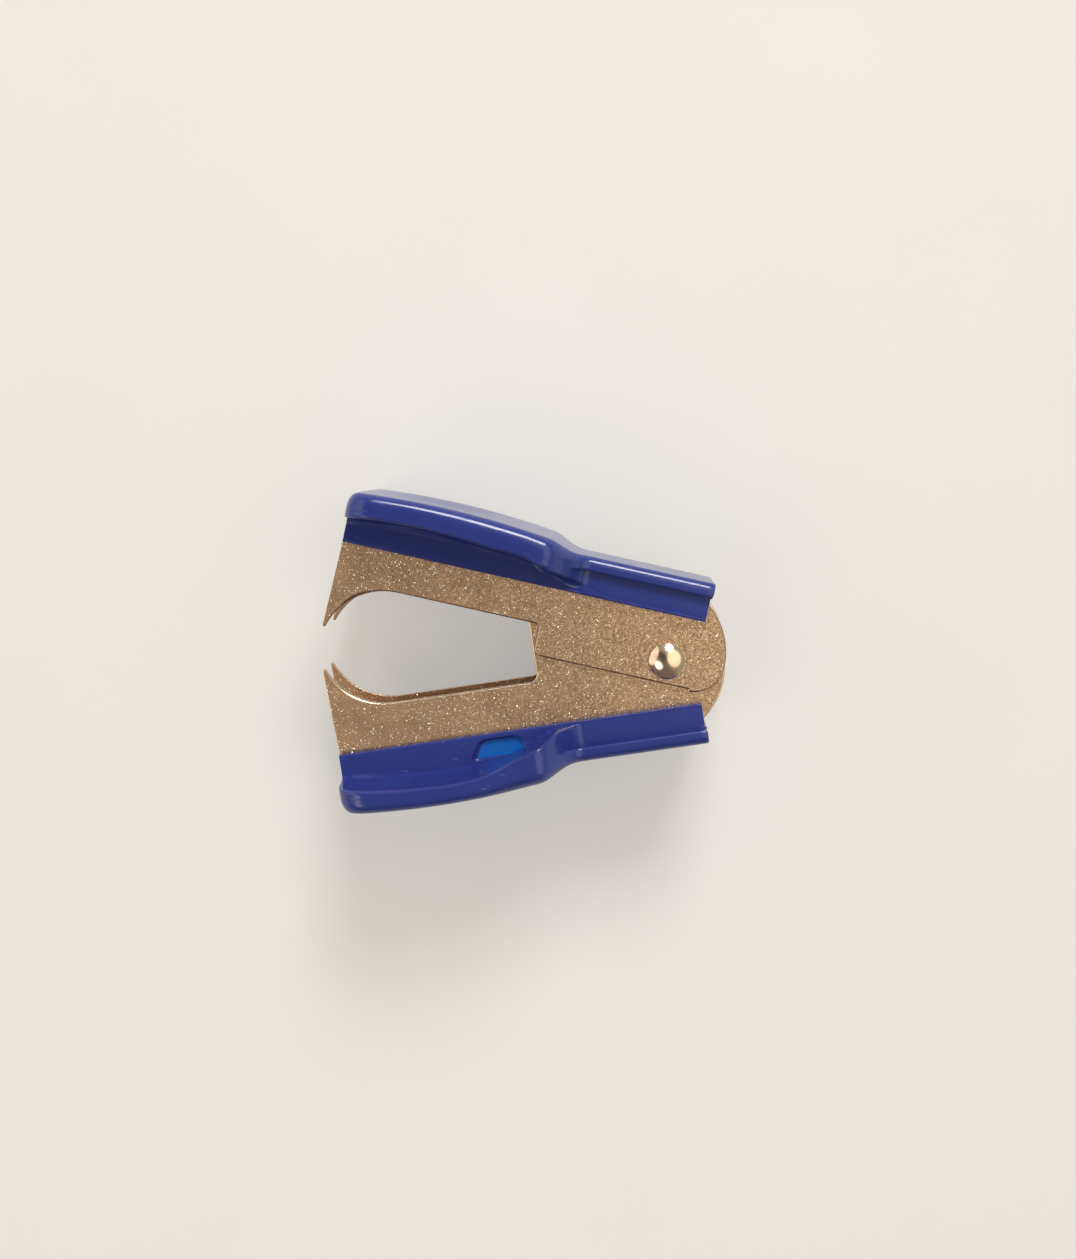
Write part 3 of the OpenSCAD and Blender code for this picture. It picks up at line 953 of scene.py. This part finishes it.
@dataclass
class FingerGrip(Piece):
    """A moulded grip: skirts down the jaw's walls, a flange and a winged pad with a thumb dish."""

    jaw_w: float
    pocket_side: Side
    glow_finish: Finish
    fit: float = 0.05
    back_h: float = 11.0
    skirt_t: float = 1.3
    skirt_edge: float = 7.1
    skirt_edge_r: float = 0.35
    skirt_tail: float = -4.2
    flange_half: float = 8.5
    flange_low: float = 10.9
    flange_top: float = 13.05
    flange_tail: float = -4.5
    flange_edge_r: float = 1.2
    front: float = 51.6
    wing_half: float = 14.25
    flare_span: Point2 = (14.6, 21.4)
    corner_r: float = 4.0
    pad_h: float = 15.75
    pad_peak: float = 38.0
    crown_r: float = 134.0
    cross_fall: float = 0.1
    heel_span: Point2 = (15.8, 21.2)
    nose_r: float = 1.8
    edge_r: float = 2.0
    dish_depth: float = 0.8
    dish_r: float = 13.0
    rim_gap: float = 0.2
    rim_over_skirt: float = 0.5
    rim_edge_r: float = 0.5
    rim_r_share: float = 0.4
    rim_r_least: float = 0.01
    rim_h: float = 12.6
    rim_peak: float = 35.0
    rim_rear_r: float = 32.0
    rim_front_r: float = 95.0
    rim_sag: float = 0.5
    sag_at: float = 24.5
    sag_reach: float = 3.0
    rear_swell: float = 0.35
    swell_span: Point2 = (14.6, 17.5)
    lip_span: Point2 = (14.4, 20.5)
    lip_gap: float = 0.03
    ledge_span: Point2 = (17.0, 21.0)
    ledge_share: float = 0.3
    ledge_fall: float = 0.02
    ledge_edge_r: float = 0.3
    ledge_r_share: float = 0.45
    brow_share: float = 0.62
    foot_t_share: float = 0.3
    foot_h_share: float = 0.4
    tail_drop: float = 0.3
    cove_span: Point2 = (16.0, 23.0)
    cove_power: float = 18.0
    step_power: float = 3.5
    end_round: float = 0.3
    end_steps: int = 4
    first_step: float = 1.0
    fine_step: float = 0.4
    coarse_step: float = 1.2
    fine_span: Point2 = (12.6, 25.0)
    corner_steps: int = 15
    top_steps: int = 12
    brow_steps: int = 8
    hollow_steps: int = 18
    edge_steps: int = 4
    face_steps: int = 3
    foot_steps: int = 2
    weld_mm: float = 0.0005
    sharp_angle: float = 38.0
    pocket: Pocket = field(default_factory=Pocket)

    def _inside(self) -> float:
        """Returns the distance of the skirts' insides from the jaw's middle plane."""
        return self.jaw_w / 2.0 + self.fit

    def _half_width(self, s: float) -> float:
        """Returns half the width of the grip at a distance in front of the pivot."""
        wide = mix(self.flange_half, self.wing_half, ease(s, self.flare_span))
        return wide - round_off(s - (self.front - self.corner_r), self.corner_r)

    def _top(self, s: float, z: float, half_width: float) -> float:
        """Height of the grip's outside.

        Args:
            s: Distance in front of the pivot.
            z: Distance from the jaw's middle plane.
            half_width: Half the grip's width there.

        Returns:
            Height over the pivot.
        """
        share = ease(s, self.heel_span)
        crown = self.pad_h - (s - self.pad_peak) ** 2 / (2.0 * self.crown_r)
        crown -= self.cross_fall * (z / half_width) ** 2
        crown -= round_off(s - (self.front - self.nose_r), self.nose_r)
        far = ((s - self.pad_peak) ** 2 + z * z) / self.dish_r**2
        crown -= self.dish_depth * max(0.0, 1.0 - far) ** 2
        return mix(self.flange_top, crown, share)

    def _rim(self, s: float) -> float:
        """Returns the height of the wing's lower edge, which arches down to the skirt's own edge."""
        radius = self.rim_rear_r if s < self.rim_peak else self.rim_front_r
        arch = self.rim_h - radius + math.sqrt(radius**2 - min(radius, abs(s - self.rim_peak)) ** 2)
        arch -= self.rim_sag * math.exp(-(((s - self.sag_at) / self.sag_reach) ** 2))
        return max(self.skirt_edge + self.rim_over_skirt, arch)

    def _half_ring(self, s: float, inset: float, skirted: bool) -> list[Point2]:
        """Half of the grip's section, from the middle of its top round to the middle of its inside.

        Args:
            s: Distance in front of the pivot.
            inset: How far the outside is drawn in, to round the grip's ends.
            skirted: Whether the section has skirts.

        Returns:
            Points as distance from the middle plane and height over the pivot.
        """
        wide = self._half_width(s)
        half = wide - inset
        inside = self._inside()
        plain = inside + self.skirt_t
        rear = plain + self.rear_swell
        skirt = mix(rear, plain, ease(s, self.swell_span)) - inset
        flare = mix(rear, self.wing_half, ease(s, self.lip_span))
        lip = min(half - self.lip_gap, flare - inset)
        low = (self.skirt_edge if skirted else self.flange_low - self.tail_drop) + inset
        rim = max(self._rim(s), low + self.rim_gap) + inset
        back = self.back_h + self.fit
        wing = ease(s, self.heel_span)
        brow = self._top(s, half, wide) - inset
        wing_ledge = mix(rim, brow, self.ledge_share)
        ledge = mix(self.flange_low, wing_ledge, ease(s, self.ledge_span)) + inset
        top_r = min(mix(self.flange_edge_r, self.edge_r, wing), self.brow_share * (brow - ledge))
        ledge_r = min(self.ledge_edge_r, self.ledge_r_share * (half - lip))
        low_r = min(self.rim_edge_r, self.rim_r_share * (lip - skirt) + self.rim_r_least)
        foot_r = min(self.foot_t_share * (skirt - inside), self.foot_h_share * (rim - low))
        foot_r = min(self.skirt_edge_r, foot_r)
        hollow = mix(self.step_power, self.cove_power, ease(s, self.cove_span))
        across = [(half - top_r) * step / self.top_steps for step in range(self.top_steps + 1)]
        ring = Outline([(z, self._top(s, z, wide) - inset) for z in across])
        ring.arc(top_r, 90.0, self.brow_steps)
        ring.line((half, ledge + ledge_r), self.edge_steps)
        ring.arc(ledge_r, 0.0, self.face_steps)
        ring.line((lip, ledge - self.ledge_fall), self.face_steps)
        ring.line((lip, rim + low_r), self.edge_steps)
        ring.arc(low_r, 0.0, self.edge_steps)
        ring.cove((skirt, low + foot_r), hollow, self.hollow_steps)
        ring.arc(foot_r, 0.0, self.edge_steps)
        ring.line((inside, low), self.foot_steps)
        ring.line((inside, back), self.face_steps)
        ring.line((0.0, back), self.face_steps)
        return ring.points

    def _stations(self) -> list[tuple[float, float, bool]]:
        """Returns the sections along the grip: distance, inset and whether the section has skirts."""
        rounding = self.end_round
        found = []
        for step in range(self.end_steps + 1):
            angle = math.pi / 2.0 * step / self.end_steps
            along = rounding * (1.0 - math.cos(angle))
            found.append((self.flange_tail + along, rounding * (1.0 - math.sin(angle)), False))
        found += [(self.skirt_tail, 0.0, skirted) for skirted in (False, True)]
        place = self.skirt_tail + self.first_step
        while place < self.front - self.corner_r:
            found.append((place, 0.0, True))
            is_fine = self.fine_span[0] < place < self.fine_span[1]
            place += self.fine_step if is_fine else self.coarse_step
        for step in range(self.corner_steps):
            angle = math.pi / 2.0 * step / self.corner_steps
            found.append((self.front - self.corner_r * (1.0 - math.sin(angle)), 0.0, True))
        found.append((self.front, 0.0, True))
        return found

    def _ring(self, s: float, inset: float, skirted: bool) -> list[Vector]:
        """Returns a closed section of the grip as points in the jaw's own millimetres."""
        half = self._half_ring(s, inset, skirted)
        far = [(-z, h) for z, h in reversed(half[1:-1])]
        return [Vector((-s, h, z)) for z, h in half + far]

    def _skin(self) -> Shape:
        """Lays a grid over the sections, joins its seam and closes its ends.

        Returns:
            The closed grip, in the frame's metres, without its pocket.
        """
        rings = [self._ring(*station) for station in self._stations()]
        across = len(rings[0])
        along = len(rings) - 1
        shape = bmesh.new()
        grid_half = 0.5
        bmesh.ops.create_grid(shape, x_segments=across, y_segments=along, size=grid_half)
        for vert in shape.verts:
            column = round((vert.co.x + grid_half) * across) % across
            row = round((vert.co.y + grid_half) * along)
            vert.co = rings[row][column]
        bmesh.ops.remove_doubles(shape, verts=shape.verts, dist=self.weld_mm)
        ends = [edge for edge in shape.edges if edge.is_boundary]
        caps = bmesh.ops.edgeloop_fill(shape, edges=ends)["faces"]
        bmesh.ops.triangulate(shape, faces=caps)
        shape.transform(self.half.placing())
        face_outwards(shape)
        return shape

    def build(self) -> Object:
        """Returns the grip, with its pocket cut and the pocket's thin floor and round end in a paler blue
        that paints the light shining through them.
        """
        made = new_object(self.name, self._skin(), self.finish)
        solid = self.pocket.cutter(self._inside() + self.skirt_t, self.pocket_side)
        solid.transform(self.half.placing())
        face_outwards(solid)
        carve(made, new_object(self.name + "_pocket", solid, self.glow_finish, self.finish))
        shade_smooth(made, self.sharp_angle)
        return self.settle(made)


@dataclass(frozen=True)
class SoftBox:
    """One soft lamp of the studio."""

    name: str
    place: Point3
    size: Point2
    watts: float
    colour: Colour = (1.0, 0.98, 0.95)
    spread: float = 180.0

    def light(self, aim: Vector) -> None:
        """Hangs the lamp so that it points at a place."""
        lamp = bpy.data.lights.new(self.name, "AREA")
        lamp.shape = "ELLIPSE"
        lamp.size, lamp.size_y = self.size
        lamp.energy = self.watts
        lamp.spread = math.radians(self.spread)
        lamp.color = self.colour
        made = bpy.data.objects.new(self.name, lamp)
        made.location = self.place
        made.rotation_euler = (aim - made.location).to_track_quat("-Z", "Y").to_euler()
        bpy.context.scene.collection.objects.link(made)


@dataclass
class Studio:
    """The pale floor, the soft lamps and the camera at the photograph's viewing angle."""

    lamps: tuple[SoftBox, ...] = (
        SoftBox("key", (0.16, 0.88, 0.70), (0.52, 0.44), 2.65, spread=90.0),
        SoftBox("left", (-1.00, 0.27, 0.62), (1.60, 0.90), 3.8, (1.0, 0.90, 0.76)),
        SoftBox("overhead", (0.62, 0.17, 1.04), (1.60, 1.24), 5.0, (1.0, 0.89, 0.70)),
        SoftBox("low_left", (-0.54, -0.38, 0.86), (0.66, 0.52), 2.0, (1.0, 0.91, 0.76)),
    )
    bright_side: Colour = (0.40, 0.36, 0.29)
    bright_way: Point3 = (0.80, 0.58, 0.10)
    bright_span: Point2 = (0.42, 0.66)
    dark_side: Colour = (0.20, 0.15, 0.13)
    flag: Colour = (0.06, 0.06, 0.05)
    flag_way: Point3 = (-0.40, 0.16, 0.90)
    flag_span: Point2 = (0.945, 0.985)
    backdrop: Colour = (0.74, 0.73, 0.71)
    backdrop_span: Point2 = (0.54, 0.61)
    floor_half: float = 2.0
    floor_cells: int = 8
    paper: Finish = PlainPaper("plain_paper")
    camera_mm: Point3 = (12.5, 31.0, 289.95)
    aim_mm: Point3 = (2.156, 4.059, 19.95)
    roll: float = math.radians(1.844)
    lens: float = 51.359
    sensor_mm: float = 36.0
    near_clip: float = 0.01

    def lay_floor(self) -> None:
        """Lays the floor under the remover."""
        shape = bmesh.new()
        cells = self.floor_cells
        bmesh.ops.create_grid(shape, x_segments=cells, y_segments=cells, size=self.floor_half)
        floor = new_object("floor", shape, self.paper)

    def hang_lamps(self) -> None:
        """Hangs the lamps."""
        aim = Vector(self.aim_mm) * MM
        for lamp in self.lamps:
            lamp.light(aim)

    def paint_room(self) -> None:
        """Gives the room a bright and a dark side, a dark flag overhead and a pale backdrop all round."""
        world = bpy.data.worlds.new("studio")
        world.use_nodes = True
        sheet = ShaderSheet(world.node_tree)
        lit = sheet.ramp(self._towards(sheet, self.bright_way), self.bright_span)
        walls = sheet.tint(lit, self.dark_side, self.bright_side)
        shaded = sheet.ramp(self._towards(sheet, self.flag_way), self.flag_span)
        ceiling = sheet.tint(shaded, walls, self.flag)
        high = sheet.ramp(self._towards(sheet, tuple(ALONG_RIVET)), self.backdrop_span)
        room = sheet.tint(high, self.backdrop, ceiling)
        light = sheet.node("ShaderNodeBackground", {}, {"Color": room})
        sheet.node("ShaderNodeOutputWorld", {}, {"Surface": light})
        bpy.context.scene.world = world

    @staticmethod
    def _towards(sheet: ShaderSheet, way: Point3) -> Socket:
        """Returns how nearly a direction in the room is the given one, from 0 for its opposite to 1."""
        seen = sheet.node("ShaderNodeTexCoord", {}, {}, "Generated")
        terms = {0: seen, 1: Vector(way).normalized()}
        return 0.5 + 0.5 * sheet.node("ShaderNodeVectorMath", {"operation": "DOT_PRODUCT"}, terms, "Value")

    def set_camera(self) -> None:
        """Sets the camera up."""
        view = bpy.data.cameras.new("photo_view")
        view.sensor_width = self.sensor_mm
        view.lens = self.lens
        view.clip_start = self.near_clip
        made = bpy.data.objects.new("photo_view", view)
        place = Vector(self.camera_mm) * MM
        back = (place - Vector(self.aim_mm) * MM).normalized()
        upright = Matrix.Rotation(self.roll, 3, "Z") @ OUT_OF_BACK
        right = upright.cross(back).normalized()
        turn = Matrix((right, back.cross(right), back)).transposed()
        made.matrix_world = Matrix.Translation(place) @ turn.to_4x4()
        bpy.context.scene.collection.objects.link(made)
        bpy.context.scene.camera = made


def main() -> None:
    """Builds the remover piece by piece, and the studio round it."""
    logging.basicConfig(level=logging.INFO, format="%(name)s: %(message)s")
    bpy.context.scene.view_settings.view_transform = "Standard"
    pieces = [
        Jaw(
            "outer_jaw_sheet", "outer_jaw", Half.UPPER, STEEL, "jaw_steel",
            edge_finish=SHADED_EDGE, front_highlight_finish=LIT_EDGE, width=OUTER_W, hole_r=2.02,
        ),
        Jaw(
            "inner_jaw_sheet", "inner_jaw", Half.LOWER, STEEL, "jaw_steel",
            edge_finish=LIT_EDGE, front_highlight_finish=LIT_EDGE, width=INNER_W, hole_r=2.06,
        ),
        PivotRivet("rivet", "pivot_rivet", Half.UPPER, POLISHED, "rivet_steel", span_mm=OUTER_W),
        TorsionSpring("spring", "torsion_spring", Half.UPPER, WIRE, "spring_wire"),
        FingerGrip(
            "upper_grip_moulding", "upper_grip", Half.UPPER, BLUE, "blue_plastic",
            jaw_w=OUTER_W, pocket_side=Side.FAR, glow_finish=GLOW_BLUE,
            rim_h=12.0, rim_peak=41.0, rim_rear_r=105.0, rim_front_r=60.0, rim_sag=-0.4,
        ),
        FingerGrip(
            "lower_grip_moulding", "lower_grip", Half.LOWER, BLUE, "blue_plastic",
            jaw_w=INNER_W, pocket_side=Side.NEAR, glow_finish=GLOW_BLUE,
        ),
    ]
    for piece in pieces:
        made = piece.build()
        LOG.info("%s: %d faces", made.name, len(made.data.polygons))
    studio = Studio()
    studio.lay_floor()
    studio.hang_lamps()
    studio.paint_room()
    studio.set_camera()


if __name__ == "__main__":
    main()
